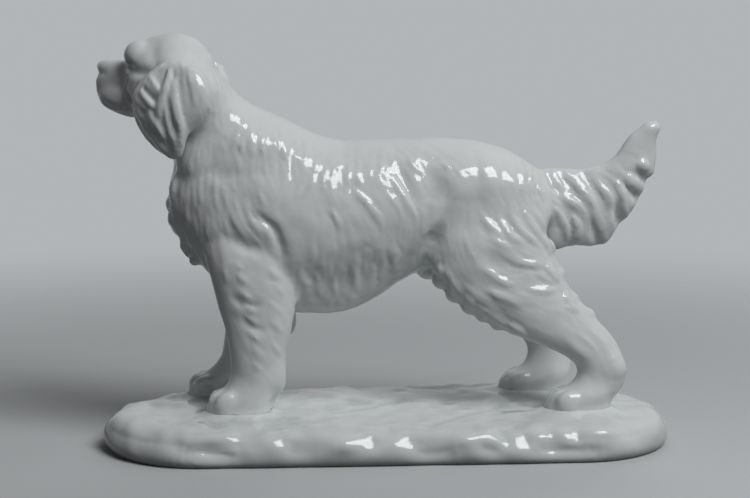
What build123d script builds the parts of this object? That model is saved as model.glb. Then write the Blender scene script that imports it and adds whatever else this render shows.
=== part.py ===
from build123d import *
import os
from math import cos, pi, radians, sin

# A white porcelain setter on an oval plinth, as the castings that a figure maker lutes together with slip.
# Lengths are millimetres, +Z is up, and the origin is under the middle of the plinth.
# The dog faces -X, and its left side is towards -Y.

# Plinth, cast as an upturned tray
PLINTH_LENGTH = 260.0
PLINTH_WIDTH = 98.0
PLINTH_HEIGHT = 17.0
PLINTH_WALL = 6.0
PLINTH_TOP_THICKNESS = 6.0
PLINTH_SHOULDER_RADIUS = 9.0
PLINTH_FOOT_RADIUS = 3.5
PLINTH_HOLLOW_RADIUS = 5.0

# Casting and luting
CAST_WALL = 4.5
SLIP_THICKNESS = 0.8
VENT_DIAMETER = 4.0

# Stance: the dog stands behind the plinth's long axis, with its right legs ahead of its left ones
FIGURE_SETBACK = 4.5
FORE_STANCE = 38.0
HIND_STANCE = 44.0
FORE_STRIDE = 11.0
HIND_STRIDE = 15.0

# Trunk, from the chest to the rump
CHEST_REACH = 98.0
TRUNK_LENGTH = 178.0
TRUNK_DEPTH = 80.0
TRUNK_WIDTH = 55.0
BACK_HEIGHT = 122.5

# Neck, leaning forward from the withers
NECK_LENGTH = 60.0
NECK_DEPTH = 74.0
NECK_WIDTH = 48.0
NECK_LEAN = 38.0

# Head, turned to the dog's right
HEAD_TURN = 30.0
CRANIUM_LENGTH = 38.0
CRANIUM_DEPTH = 39.0
CRANIUM_WIDTH = 38.0
MUZZLE_LENGTH = 31.0
MUZZLE_DEPTH = 26.0
MUZZLE_WIDTH = 25.0
BROW_RADIUS = 7.5
NOSE_RADIUS = 4.0
EAR_LENGTH = 43.0
EAR_WIDTH = 29.0
EAR_THICKNESS = 9.0
RIGHT_EAR_SWING = 7.0
RIGHT_EAR_PUSH = 6.0

# Tail, a feathered flag
TAIL_LENGTH = 60.0
TAIL_DEPTH = 37.0
TAIL_THICKNESS = 14.0

# Legs, measured fore and aft and from side to side at their widest
FORELEG_DEPTH = 39.0
FORELEG_THICKNESS = 22.0
HIND_LEG_DEPTH = 58.0
HIND_LEG_THICKNESS = 24.0

# Places as shares of the piece that carries them
FORELEG_PLACE_SHARE = 0.21
HIND_LEG_PLACE_SHARE = 0.80
TAIL_PLACE_SHARE = 0.91
TAIL_DROP_SHARE = 0.175
NECK_PLACE_SHARE = 0.225
NECK_DROP_SHARE = 0.27
FORELEG_SEAM_SHARE = 0.85
HIND_SEAM_SHARE = 0.75
NECK_SEAM_SHARE = 0.47
TAIL_SEAM_SHARE = 0.27
CRANIUM_BACK_SHARE = 0.45
MUZZLE_ROOT_SHARE = 0.20
EAR_TOP_SHARE = 0.24
BROW_FORWARD_SHARE = 0.33
BROW_SIDE_SHARE = 0.50
BROW_RISE_SHARE = 0.28
NOSE_FORWARD_SHARE = 0.94
NOSE_RISE_SHARE = 0.21
VENT_TOP_SHARE = 0.50
MUZZLE_FULLNESS_SHARE = 0.75
ROUND_FULLNESS_SHARE = 1.0

# Trunk sections: place along the trunk, drop of the back and of the belly below the back, half width
TRUNK_SHARES = [
    (0.000, 0.20, 0.52, 0.17),
    (0.030, 0.05, 0.59, 0.29),
    (0.080, -0.04, 0.73, 0.39),
    (0.145, -0.09, 0.88, 0.45),
    (0.235, -0.10, 0.97, 0.49),
    (0.325, -0.06, 1.00, 0.50),
    (0.415, 0.00, 1.00, 0.49),
    (0.505, 0.01, 0.93, 0.47),
    (0.605, 0.00, 0.79, 0.43),
    (0.710, 0.00, 0.71, 0.40),
    (0.810, 0.04, 0.67, 0.39),
    (0.890, 0.11, 0.62, 0.35),
    (0.950, 0.21, 0.55, 0.25),
    (0.990, 0.32, 0.46, 0.12),
]

# Neck sections: place along the neck, reach to the nape and to the throat, half width
NECK_SHARES = [
    (0.00, 0.49, 0.51, 0.50),
    (0.20, 0.41, 0.49, 0.48),
    (0.40, 0.32, 0.40, 0.44),
    (0.58, 0.26, 0.30, 0.39),
    (0.77, 0.24, 0.24, 0.35),
    (0.95, 0.21, 0.19, 0.30),
]

# Cranium sections: place from the back of the skull, rise, drop, half width
CRANIUM_SHARES = [
    (0.00, 0.27, 0.13, 0.21),
    (0.13, 0.44, 0.28, 0.37),
    (0.34, 0.54, 0.41, 0.47),
    (0.58, 0.54, 0.46, 0.50),
    (0.78, 0.50, 0.45, 0.46),
    (0.92, 0.43, 0.38, 0.37),
    (1.00, 0.33, 0.26, 0.24),
]

# Muzzle sections: place from inside the skull, rise, drop, half width
MUZZLE_SHARES = [
    (0.00, 0.24, 0.58, 0.48),
    (0.34, 0.35, 0.62, 0.47),
    (0.61, 0.38, 0.62, 0.44),
    (0.86, 0.38, 0.54, 0.41),
    (0.96, 0.33, 0.41, 0.34),
    (1.00, 0.22, 0.22, 0.22),
]

# Ear sections: drop down the ear, place behind the skull's middle, half width, half thickness, distance out
EAR_SHARES = [
    (0.00, 0.28, 0.26, 0.30, 0.43),
    (0.22, 0.25, 0.43, 0.42, 0.52),
    (0.40, 0.22, 0.50, 0.50, 0.57),
    (0.57, 0.23, 0.50, 0.50, 0.57),
    (0.69, 0.25, 0.45, 0.49, 0.55),
    (0.82, 0.30, 0.36, 0.44, 0.53),
    (0.93, 0.36, 0.23, 0.36, 0.50),
    (1.00, 0.40, 0.10, 0.24, 0.48),
]

# Tail sections: place along the tail, rise of its top line, drop of its feathered edge, half thickness
TAIL_SHARES = [
    (0.00, -0.02, 0.75, 0.46),
    (0.13, 0.00, 0.92, 0.50),
    (0.27, 0.00, 1.00, 0.48),
    (0.43, 0.00, 0.98, 0.44),
    (0.58, 0.06, 0.98, 0.40),
    (0.70, 0.21, 0.75, 0.36),
    (0.79, 0.42, 0.58, 0.32),
    (0.88, 0.53, 0.35, 0.28),
    (0.945, 0.56, 0.16, 0.24),
    (1.00, 0.52, -0.23, 0.14),
]

# Leg sections: height up to the back, place of the middle, half depth, half thickness, splay, stride
FORELEG_SHARES = [
    (0.00, -0.16, 0.37, 0.43, 1.00, 1.00),
    (0.03, -0.15, 0.40, 0.45, 1.00, 1.00),
    (0.065, -0.10, 0.39, 0.44, 1.00, 0.95),
    (0.10, -0.01, 0.35, 0.41, 1.00, 0.80),
    (0.145, 0.04, 0.32, 0.39, 1.00, 0.55),
    (0.21, 0.04, 0.32, 0.40, 1.00, 0.35),
    (0.285, 0.04, 0.36, 0.42, 1.00, 0.15),
    (0.365, 0.03, 0.42, 0.45, 0.97, 0.05),
    (0.465, 0.00, 0.47, 0.50, 0.92, 0.00),
    (0.565, -0.04, 0.50, 0.50, 0.87, 0.00),
    (0.68, -0.10, 0.46, 0.41, 0.79, 0.00),
]
HIND_LEG_SHARES = [
    (0.00, 0.71, 0.25, 0.38, 1.00, 1.00),
    (0.04, 0.71, 0.27, 0.40, 1.00, 1.00),
    (0.078, 0.78, 0.25, 0.38, 1.00, 1.00),
    (0.115, 0.86, 0.20, 0.31, 0.98, 1.10),
    (0.165, 0.88, 0.19, 0.29, 0.96, 1.10),
    (0.21, 0.81, 0.23, 0.31, 0.93, 0.85),
    (0.26, 0.66, 0.33, 0.35, 0.89, 0.40),
    (0.31, 0.50, 0.41, 0.40, 0.84, 0.10),
    (0.365, 0.35, 0.46, 0.44, 0.79, 0.00),
    (0.425, 0.20, 0.48, 0.48, 0.75, 0.00),
    (0.50, 0.09, 0.50, 0.50, 0.70, 0.00),
    (0.58, 0.01, 0.50, 0.50, 0.66, 0.00),
    (0.68, -0.03, 0.50, 0.44, 0.61, 0.00),
    (0.775, -0.02, 0.38, 0.33, 0.55, 0.00),
]

# Points round one section
SECTION_POINTS = 12

# Levels, axes and joints between the castings
ground_level = PLINTH_HEIGHT
back_level = ground_level + BACK_HEIGHT
belly_clearance = BACK_HEIGHT - TRUNK_DEPTH
fore_seam_level = ground_level + FORELEG_SEAM_SHARE * belly_clearance
hind_seam_level = ground_level + HIND_SEAM_SHARE * belly_clearance
forward = Vector(-1, 0, 0)
leftward = Vector(0, -1, 0)
upward = Vector(0, 0, 1)
trunk_front = Vector(-CHEST_REACH, FIGURE_SETBACK, back_level)
neck_axis = forward * sin(radians(NECK_LEAN)) + upward * cos(radians(NECK_LEAN))
nape_axis = upward * sin(radians(NECK_LEAN)) - forward * cos(radians(NECK_LEAN))
neck_root = (
    trunk_front
    - forward * (NECK_PLACE_SHARE * TRUNK_LENGTH)
    - upward * (NECK_DROP_SHARE * TRUNK_DEPTH)
)
head_middle = neck_root + neck_axis * NECK_LENGTH
head_forward = forward * cos(radians(HEAD_TURN)) - leftward * sin(radians(HEAD_TURN))
head_leftward = leftward * cos(radians(HEAD_TURN)) + forward * sin(radians(HEAD_TURN))
tail_root = (
    trunk_front
    - forward * (TAIL_PLACE_SHARE * TRUNK_LENGTH)
    - upward * (TAIL_DROP_SHARE * TRUNK_DEPTH)
)


def section(middle, across, up, half_width, rise, drop, fullness=ROUND_FULLNESS_SHARE):
    """Closed oval round its middle, with its own rise and drop."""
    points = []
    for step in range(SECTION_POINTS):
        angle = 2 * pi * step / SECTION_POINTS
        side = abs(cos(angle)) ** fullness
        height = abs(sin(angle)) ** fullness
        side_reach = half_width * (side if cos(angle) > 0 else -side)
        height_reach = rise * height if sin(angle) > 0 else -drop * height
        points.append(middle + across * side_reach + up * height_reach)
    knots = [float(step) for step in range(SECTION_POINTS + 1)]
    return Wire([Edge.make_spline(points, periodic=True, parameters=knots)])


def trunk(inset=0):
    """Barrel of the body, or with an inset the hollow inside its wall."""
    rings = []
    for along, top, bottom, width in TRUNK_SHARES:
        half_width = TRUNK_WIDTH * width - inset
        half_depth = TRUNK_DEPTH * (bottom - top) / 2 - inset
        behind_front = TRUNK_LENGTH * along
        middle = (
            trunk_front
            - forward * behind_front
            - upward * (TRUNK_DEPTH * (top + bottom) / 2)
        )
        if min(half_width, half_depth) > inset and behind_front >= inset:
            rings.append(section(middle, leftward, upward, half_width, half_depth, half_depth))
    return Solid.make_loft(rings)


def neck(inset=0):
    """Whole neck from inside the shoulders to inside the skull, or its hollow."""
    rings = []
    for along, nape, throat, width in NECK_SHARES:
        middle = neck_root + neck_axis * (NECK_LENGTH * along)
        half_width = NECK_WIDTH * width - inset
        nape_reach = NECK_DEPTH * nape - inset
        throat_reach = NECK_DEPTH * throat - inset
        rings.append(section(middle, leftward, nape_axis, half_width, nape_reach, throat_reach))
    return Solid.make_loft(rings)


def cranium(inset=0):
    """Skull, or its hollow."""
    rings = []
    back = head_middle - head_forward * (CRANIUM_LENGTH * CRANIUM_BACK_SHARE)
    for along, rise, drop, width in CRANIUM_SHARES:
        middle = back + head_forward * (CRANIUM_LENGTH * along)
        half_width = CRANIUM_WIDTH * width - inset
        up_reach = CRANIUM_DEPTH * rise - inset
        down_reach = CRANIUM_DEPTH * drop - inset
        behind_front = CRANIUM_LENGTH * (1 - along)
        if min(half_width, up_reach, down_reach) > inset and behind_front >= inset:
            rings.append(section(middle, head_leftward, upward, half_width, up_reach, down_reach))
    return Solid.make_loft(rings)


muzzle_root = head_middle + head_forward * (CRANIUM_LENGTH * MUZZLE_ROOT_SHARE)


def muzzle():
    """Deep square muzzle with hanging lips."""
    rings = []
    for along, rise, drop, width in MUZZLE_SHARES:
        middle = muzzle_root + head_forward * (MUZZLE_LENGTH * along)
        rings.append(
            section(
                middle,
                head_leftward,
                upward,
                MUZZLE_WIDTH * width,
                MUZZLE_DEPTH * rise,
                MUZZLE_DEPTH * drop,
                MUZZLE_FULLNESS_SHARE,
            )
        )
    return Solid.make_loft(rings)


def brow(side):
    """Ridge over one eye."""
    middle = (
        head_middle
        + head_forward * (CRANIUM_LENGTH * BROW_FORWARD_SHARE)
        + head_leftward * (side * CRANIUM_WIDTH / 2 * BROW_SIDE_SHARE)
        + upward * (CRANIUM_DEPTH * BROW_RISE_SHARE)
    )
    return Pos(*middle) * Sphere(BROW_RADIUS)


def nose():
    """Rounded end of the muzzle."""
    middle = (
        muzzle_root
        + head_forward * (MUZZLE_LENGTH * NOSE_FORWARD_SHARE)
        + upward * (MUZZLE_DEPTH * NOSE_RISE_SHARE)
    )
    return Pos(*middle) * Sphere(NOSE_RADIUS)


def ear(side):
    """Long hanging ear, still sunk into the side of the head; the turned neck pushes the right one out."""
    swing = RIGHT_EAR_SWING if side < 0 else 0
    push = RIGHT_EAR_PUSH if side < 0 else 0
    rings = []
    top = head_middle + upward * (CRANIUM_DEPTH * EAR_TOP_SHARE)
    for drop, behind, width, thickness, out in EAR_SHARES:
        middle = (
            top
            - upward * (EAR_LENGTH * drop)
            - head_forward * (EAR_WIDTH * behind - swing)
            + head_leftward * (side * (CRANIUM_WIDTH * out + push * drop))
        )
        half_thickness = EAR_THICKNESS * thickness
        rings.append(
            section(middle, head_forward, head_leftward, EAR_WIDTH * width, half_thickness, half_thickness)
        )
    return Solid.make_loft(rings)


def tail():
    """Whole tail, from inside the rump to its raised tip."""
    rings = []
    for along, top, bottom, thickness in TAIL_SHARES:
        half_depth = TAIL_DEPTH * (top + bottom) / 2
        middle = (
            tail_root
            - forward * (TAIL_LENGTH * along)
            + upward * (TAIL_DEPTH * (top - bottom) / 2)
        )
        rings.append(section(middle, leftward, upward, TAIL_THICKNESS * thickness, half_depth, half_depth))
    return Solid.make_loft(rings)


def leg(shares, place_share, depth, thickness, stance, stride, side):
    """One whole leg, from its sole on the plinth to its root inside the trunk."""
    rings = []
    for height, place, half_depth, half_thickness, splay, step in shares:
        ahead = stride * step if side < 0 else 0
        middle = Vector(
            -CHEST_REACH + TRUNK_LENGTH * place_share + depth * place - ahead,
            FIGURE_SETBACK - side * stance / 2 * splay,
            ground_level + BACK_HEIGHT * height,
        )
        half_across = thickness * half_thickness
        rings.append(section(middle, -forward, -leftward, depth * half_depth, half_across, half_across))
    return Solid.make_loft(rings)


def foreleg(side):
    """Left foreleg for a side of 1, right one for -1."""
    return leg(
        FORELEG_SHARES, FORELEG_PLACE_SHARE, FORELEG_DEPTH, FORELEG_THICKNESS, FORE_STANCE, FORE_STRIDE, side
    )


def hind_leg(side):
    """Left hind leg for a side of 1, right one for -1."""
    return leg(
        HIND_LEG_SHARES,
        HIND_LEG_PLACE_SHARE,
        HIND_LEG_DEPTH,
        HIND_LEG_THICKNESS,
        HIND_STANCE,
        HIND_STRIDE,
        side,
    )


def above(shape, plane):
    """What lies on the side of the plane that its normal points to."""
    return split(shape, bisect_by=plane, keep=Keep.TOP)


def below(shape, plane):
    """What lies behind the plane's normal."""
    return split(shape, bisect_by=plane, keep=Keep.BOTTOM)


def level(height):
    """Level plane at a height."""
    return Plane(origin=(0, 0, height), z_dir=(0, 0, 1))


def plinth():
    """Upturned oval tray with a rounded shoulder and a flat foot rim."""
    body = extrude(SlotOverall(PLINTH_LENGTH, PLINTH_WIDTH), amount=PLINTH_HEIGHT)
    body = fillet(body.edges().group_by(Axis.Z)[-1], radius=PLINTH_SHOULDER_RADIUS)
    body = fillet(body.edges().group_by(Axis.Z)[0], radius=PLINTH_FOOT_RADIUS)
    hollow_height = PLINTH_HEIGHT - PLINTH_TOP_THICKNESS
    hollow = extrude(
        SlotOverall(PLINTH_LENGTH - 2 * PLINTH_WALL, PLINTH_WIDTH - 2 * PLINTH_WALL), amount=hollow_height
    )
    hollow = fillet(hollow.edges().group_by(Axis.Z)[-1], radius=PLINTH_HOLLOW_RADIUS)
    return body - hollow


# Vent for the hollow castings, down through the left foreleg to the underside of the plinth
vent_middle = -CHEST_REACH + TRUNK_LENGTH * FORELEG_PLACE_SHARE
vent_top = back_level - TRUNK_DEPTH * VENT_TOP_SHARE
vent = extrude(
    Pos(vent_middle, FIGURE_SETBACK - FORE_STANCE / 2, 0) * Circle(VENT_DIAMETER / 2), amount=vent_top
)

# Neck, parted by its slip seam
neck_seam = Plane(origin=neck_root + neck_axis * (NECK_LENGTH * NECK_SEAM_SHARE), z_dir=neck_axis)
neck_seam_top = neck_seam.offset(SLIP_THICKNESS)
whole_neck = neck()
hollow_neck = neck(CAST_WALL)
lower_neck = below(whole_neck, neck_seam)
upper_neck = above(whole_neck, neck_seam_top)
neck_slip = below(above(whole_neck, neck_seam), neck_seam_top) - hollow_neck

# Tail, parted by its slip seam
tail_seam = Plane(origin=tail_root - forward * (TAIL_LENGTH * TAIL_SEAM_SHARE), z_dir=-forward)
tail_seam_end = tail_seam.offset(SLIP_THICKNESS)
whole_tail = tail()
tail_stub = below(whole_tail, tail_seam)
free_tail = above(whole_tail, tail_seam_end)
tail_slip = below(above(whole_tail, tail_seam), tail_seam_end)

# Legs, each parted by a slip seam under the trunk and seated on slip on the plinth
legs = {
    "left_foreleg": (foreleg(1), fore_seam_level),
    "right_foreleg": (foreleg(-1), fore_seam_level),
    "left_hind_leg": (hind_leg(1), hind_seam_level),
    "right_hind_leg": (hind_leg(-1), hind_seam_level),
}
sole = level(ground_level + SLIP_THICKNESS)
lower_legs = {}
leg_roots = []
leg_slips = []
paw_slips = []
for name, (whole_leg, seam_level) in legs.items():
    seam = level(seam_level)
    seam_top = level(seam_level + SLIP_THICKNESS)
    leg_roots.append(above(whole_leg, seam_top))
    leg_slips.append(below(above(whole_leg, seam), seam_top) - vent)
    lower_legs[name] = below(above(whole_leg, sole), seam) - vent
    paw_slips.append(below(whole_leg, sole) - vent)

# Torso, hollow through to the head
barrel = below(below(trunk(), neck_seam), tail_seam)
torso = barrel + lower_neck + tail_stub
for root in leg_roots:
    torso = torso + root
torso = torso - trunk(CAST_WALL) - hollow_neck - vent

# Head, hollow in the skull and neck
skull_form = upper_neck + cranium() + muzzle() + brow(1) + brow(-1) + nose()
head = skull_form - cranium(CAST_WALL) - hollow_neck

# Ears, shaped to lie against the head and neck
left_ear = ear(1) - skull_form - whole_neck - barrel
right_ear = ear(-1) - skull_form - whole_neck - barrel

nodes = {
    "plinth": plinth() - vent,
    "torso": torso,
    "head": head,
    "left_ear": left_ear,
    "right_ear": right_ear,
    "tail": free_tail,
    "neck_slip_seam": neck_slip,
    "tail_slip_seam": tail_slip,
    "leg_slip_seams": Compound(children=leg_slips),
    "paw_slip_seams": Compound(children=paw_slips),
}
nodes.update(lower_legs)

os.makedirs("parts", exist_ok=True)
for name, shape in nodes.items():
    export_step(shape, f"parts/{name}.step")
    print(name, len(shape.solids()), round(shape.volume))
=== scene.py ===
import math
import random
from collections import namedtuple

import bmesh
import bpy
import numpy as np
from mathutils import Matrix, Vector, noise
from mathutils.bvhtree import BVHTree
from mathutils.kdtree import KDTree


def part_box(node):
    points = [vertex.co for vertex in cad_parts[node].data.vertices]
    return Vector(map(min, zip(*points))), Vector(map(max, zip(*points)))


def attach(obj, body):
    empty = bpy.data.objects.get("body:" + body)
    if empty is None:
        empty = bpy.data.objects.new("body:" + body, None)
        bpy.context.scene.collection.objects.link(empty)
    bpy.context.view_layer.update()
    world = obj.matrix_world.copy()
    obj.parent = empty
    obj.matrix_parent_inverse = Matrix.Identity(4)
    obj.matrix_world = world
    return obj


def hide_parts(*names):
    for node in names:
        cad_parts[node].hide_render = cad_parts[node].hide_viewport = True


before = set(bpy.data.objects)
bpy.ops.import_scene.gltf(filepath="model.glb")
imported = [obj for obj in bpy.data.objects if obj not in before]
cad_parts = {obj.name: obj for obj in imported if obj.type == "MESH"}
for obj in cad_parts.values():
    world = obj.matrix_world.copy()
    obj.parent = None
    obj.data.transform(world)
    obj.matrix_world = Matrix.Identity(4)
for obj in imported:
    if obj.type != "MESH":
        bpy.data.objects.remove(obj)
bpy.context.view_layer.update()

# A white porcelain setter on its ground plinth: clay laid over the castings, locks of hair laid on the clay,
# finer hair combed along them, the whole softened under glaze, then parted again along the casting seams.
# Sizes are millimetres, turned to metres by MM, and marks on the photograph are pixels of its frame.
MM = 0.001
PHOTO_WIDTH = 750
PHOTO_HEIGHT = 498

# Camera, fitted to the plinth's outline
LENS = 85.0
SENSOR = 36.0
VIEW_AZIMUTH = -3.6
VIEW_ELEVATION = 7.57
VIEW_DISTANCE = 803.5 * MM
VIEW_TARGET = np.array((-5.9, 0.0, 89.3)) * MM

# Clay: the grain of each skin, passes of softening, and how tools touch it
CLAY_GRAIN = 1.0 * MM
COAT_GRAIN = 0.83 * MM
PLINTH_GRAIN = 1.1 * MM
CLAY_SOFTENING = 6
COAT_SOFTENING = 4
COMB_SOFTENING = 2
PULL = 0.5
PUSH = 0.52
TOOL_MARGIN = 3
FARTHEST_GAP = 1.0
MERGE_GAP = 0.001 * MM
CUT_GAP = 0.0001 * MM

# Planes and lines of the figure
MIDLINE = 4.5 * MM
UPWARD = np.array((0.0, 0.0, 1.0))
BODY_AXES = (np.array((-1.0, 0.0, 0.0)), np.array((0.0, -1.0, 0.0)), UPWARD)
NECK_AXIS = np.array((-0.616, 0.0, 0.788))
HEAD_MIDDLE = np.array((-94.9, 4.5, 165.2)) * MM
HEAD_FORWARD = np.array((-0.866, 0.5, 0.0))
HEAD_LEFTWARD = np.array((-0.5, -0.866, 0.0))
HEAD_AXES = (HEAD_FORWARD, HEAD_LEFTWARD, UPWARD)
HEAD_REACH = 60.0

SEAM_NODES = ["neck_slip_seam", "tail_slip_seam", "leg_slip_seams"]
LEG_NODES = ["left_foreleg", "right_foreleg", "left_hind_leg", "right_hind_leg"]
FIGURE_NODES = ["torso", "head", "left_ear", "right_ear", "tail"] + SEAM_NODES + LEG_NODES


def view_axes():
    """Back, right and up of the camera."""
    azimuth = math.radians(VIEW_AZIMUTH)
    elevation = math.radians(VIEW_ELEVATION)
    level = math.cos(elevation)
    back = np.array((math.sin(azimuth) * level, -math.cos(azimuth) * level, math.sin(elevation)))
    right = np.cross(UPWARD, back)
    right /= np.linalg.norm(right)
    return back, right, np.cross(back, right)


BACK, RIGHT, UP = view_axes()
EYE = VIEW_TARGET + BACK * VIEW_DISTANCE
PIXELS_AT_UNIT = LENS / SENSOR * PHOTO_WIDTH


def sight(pixel):
    """Direction from the camera through a pixel of the photograph."""
    across = (pixel[0] - PHOTO_WIDTH / 2) / PIXELS_AT_UNIT
    down = (pixel[1] - PHOTO_HEIGHT / 2) / PIXELS_AT_UNIT
    direction = -BACK + RIGHT * across - UP * down
    return direction / np.linalg.norm(direction)


# Mesh helpers
def new_object(name, data):
    """Object in the scene that holds a mesh, a lamp or a camera."""
    item = bpy.data.objects.new(name, data)
    bpy.context.scene.collection.objects.link(item)
    return item


def plain_mesh(item):
    """Evaluated mesh of an object, which is then taken away."""
    graph = bpy.context.evaluated_depsgraph_get()
    mesh = bpy.data.meshes.new_from_object(item.evaluated_get(graph))
    old = item.data
    bpy.data.objects.remove(item)
    bpy.data.meshes.remove(old)
    return mesh


def values_of(items, field, width=3, kind=float):
    """Values of a field of a mesh's parts, a row for each part."""
    values = np.empty(len(items) * width, dtype=kind)
    items.foreach_get(field, values)
    return values.reshape(-1, width)


def mesh_points(mesh):
    """Places of a mesh's points."""
    return values_of(mesh.vertices, "co")


def mesh_normals(mesh):
    """Outward direction at each of a mesh's points."""
    return values_of(mesh.vertex_normals, "vector")


def mesh_edges(mesh):
    """Pairs of points joined by an edge."""
    return values_of(mesh.edges, "vertices", 2, np.int32)


def set_points(mesh, points):
    """Moves a mesh's points."""
    mesh.vertices.foreach_set("co", points.ravel())
    mesh.update()


def mark(mesh, name, values, kind="FLOAT", field="value"):
    """Writes a named value on each of a mesh's points."""
    mesh.attributes.new(name, kind, "POINT").data.foreach_set(field, np.ravel(values))


def surface_of(mesh):
    """Search tree over a mesh's faces."""
    points = [Vector(p) for p in mesh_points(mesh)]
    return BVHTree.FromPolygons(points, [tuple(face.vertices) for face in mesh.polygons])


def mesh_from(work, name):
    """Plain mesh of a work mesh, which is then freed."""
    mesh = bpy.data.meshes.new(name)
    work.to_mesh(mesh)
    work.free()
    return mesh


def joined(*meshes):
    """One mesh of several, which are then taken away."""
    whole = bmesh.new()
    for mesh in meshes:
        whole.from_mesh(mesh)
        bpy.data.meshes.remove(mesh)
    return mesh_from(whole, "joined")


def merged_copy(*nodes):
    """Copy of the castings' meshes with their loose triangles joined."""
    copy = bmesh.new()
    for node in nodes:
        copy.from_mesh(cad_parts[node].data)
    bmesh.ops.remove_doubles(copy, verts=copy.verts, dist=MERGE_GAP)
    return mesh_from(copy, "castings")


def outer_skin(mesh):
    """The largest connected skin of a mesh, without the hollows inside it."""
    edges = mesh_edges(mesh)
    label = np.arange(len(mesh.vertices))
    while True:
        low = np.minimum(label[edges[:, 0]], label[edges[:, 1]])
        fresh = label.copy()
        np.minimum.at(fresh, edges[:, 0], low)
        np.minimum.at(fresh, edges[:, 1], low)
        fresh = fresh[fresh]
        if np.array_equal(fresh, label):
            break
        label = fresh
    names, counts = np.unique(label, return_counts=True)
    loose = np.flatnonzero(label != names[np.argmax(counts)])
    shell = bmesh.new()
    shell.from_mesh(mesh)
    shell.verts.ensure_lookup_table()
    bmesh.ops.delete(shell, geom=[shell.verts[i] for i in loose], context="VERTS")
    shell.to_mesh(mesh)
    shell.free()
    return mesh


def fused(mesh, grain):
    """One skin round everything in a mesh, at a grain."""
    item = new_object("fused", mesh)
    remesh = item.modifiers.new("fuse", "REMESH")
    remesh.mode = "VOXEL"
    remesh.voxel_size = grain
    return outer_skin(plain_mesh(item))


def neighbour_sums(points, edges):
    """Sum of the neighbours' places at each point."""
    total = np.empty_like(points)
    for axis in range(points.shape[1]):
        total[:, axis] = np.bincount(edges[:, 0], points[edges[:, 1], axis], len(points))
        total[:, axis] += np.bincount(edges[:, 1], points[edges[:, 0], axis], len(points))
    return total


def softened(points, edges, passes, push=PUSH):
    """Points drawn to their neighbours and pushed back again, so that ripples go and the bulk stays."""
    points = points.copy()
    degree = np.bincount(edges.ravel(), minlength=len(points))
    for step in range(passes):
        for share in (PULL, -push):
            points += share * (neighbour_sums(points, edges) / degree[:, None] - points)
    return points


def soften(mesh, passes):
    """Softens a mesh in place."""
    set_points(mesh, softened(mesh_points(mesh), mesh_edges(mesh), passes))


def touched(points, places, reach):
    """Points under a soft round tool drawn along places, with its share of pressure on each."""
    places = np.asarray(places)
    margin = TOOL_MARGIN * reach
    inside = (points > places.min(0) - margin) & (points < places.max(0) + margin)
    near = np.flatnonzero(inside.all(axis=1))
    gaps = np.linalg.norm(points[near][:, None] - places[None], axis=2)
    share = np.exp(-((gaps.min(axis=1, initial=FARTHEST_GAP) / reach) ** 2))
    if len(places) > 2 and len(near):
        along = np.linspace(0, math.pi, len(places) + 2)[1:-1]
        share *= np.sqrt(np.sin(along))[gaps.argmin(axis=1)]
    return near, share


def press(mesh, places, reach, depth):
    """Draws a soft round tool along places and presses it in by a depth; a negative depth raises the clay."""
    points = mesh_points(mesh)
    near, share = touched(points, places, reach)
    points[near] -= mesh_normals(mesh)[near] * (depth * share)[:, None]
    set_points(mesh, points)


def melt(mesh, places, reach, passes):
    """Smooths away a step under a tool drawn along places."""
    points = mesh_points(mesh)
    near, share = touched(points, places, reach)
    edges = mesh_edges(mesh)
    degree = np.bincount(edges.ravel(), minlength=len(points))[near]
    inside = np.zeros(len(points), dtype=bool)
    inside[near] = True
    edges = edges[inside[edges].any(axis=1)]
    for step in range(passes):
        mean = neighbour_sums(points, edges)[near] / degree[:, None]
        points[near] += share[:, None] * (mean - points[near])
    set_points(mesh, points)


def shave(mesh, facing, limit, within):
    """Draws back the points of the head past a sloping limit, given in the head's own directions."""
    points = mesh_points(mesh)
    own = (points - HEAD_MIDDLE) @ np.array(HEAD_AXES).T / MM
    over = own @ np.array(facing) - limit
    near = (over > 0) & (own[:, 0] > within) & (np.linalg.norm(own, axis=1) < HEAD_REACH)
    back = np.array(facing) @ np.array(HEAD_AXES)
    points[near] -= over[near, None] * back * MM
    set_points(mesh, points)


# Places on the figure
LINE_STEPS = 12
FEWEST_MARKS = 4
PIXEL_SIZE = 0.45 * MM
STROKE_STEP = 1.2 * MM
DEPTH_JUMP = 6.0 * MM
SIGHT_REACH = 2000.0 * MM

# How far the right ear and the right legs are swung forward, and between which heights a leg's stride fades
RIGHT_EAR_SWING = 7.0 * MM
FORE_STRIDE = 11.0 * MM
HIND_STRIDE = 15.0 * MM
STRIDE_HEIGHTS = (38.0 * MM, 56.0 * MM)
FAR_THROW = 80.0 * MM

# Strokes thrown from the dog's front or back: their start, their reach, and how squarely they strike
END_RAYS = {"front": np.array((1.0, 0.0, 0.0)), "back": np.array((-1.0, 0.0, 0.0))}
END_THROW = 200.0 * MM
END_REACH = 165.0 * MM
END_FACING = 0.35
NOWHERE = (np.empty((0, 3)), np.empty((0, 3)))


def head_place(forward, left, up):
    """Place on the head, from mm forward, left and up of the skull's middle."""
    return HEAD_MIDDLE + (HEAD_FORWARD * forward + HEAD_LEFTWARD * left + UPWARD * up) * MM


def head_pair(forward, left, up):
    """The same place on the left and on the right of the head."""
    return [head_place(forward, side * left, up) for side in (1, -1)]


def corner_middle(node):
    """Middle of a casting's box."""
    low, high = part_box(node)
    return (np.array(low) + np.array(high)) / 2


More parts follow.
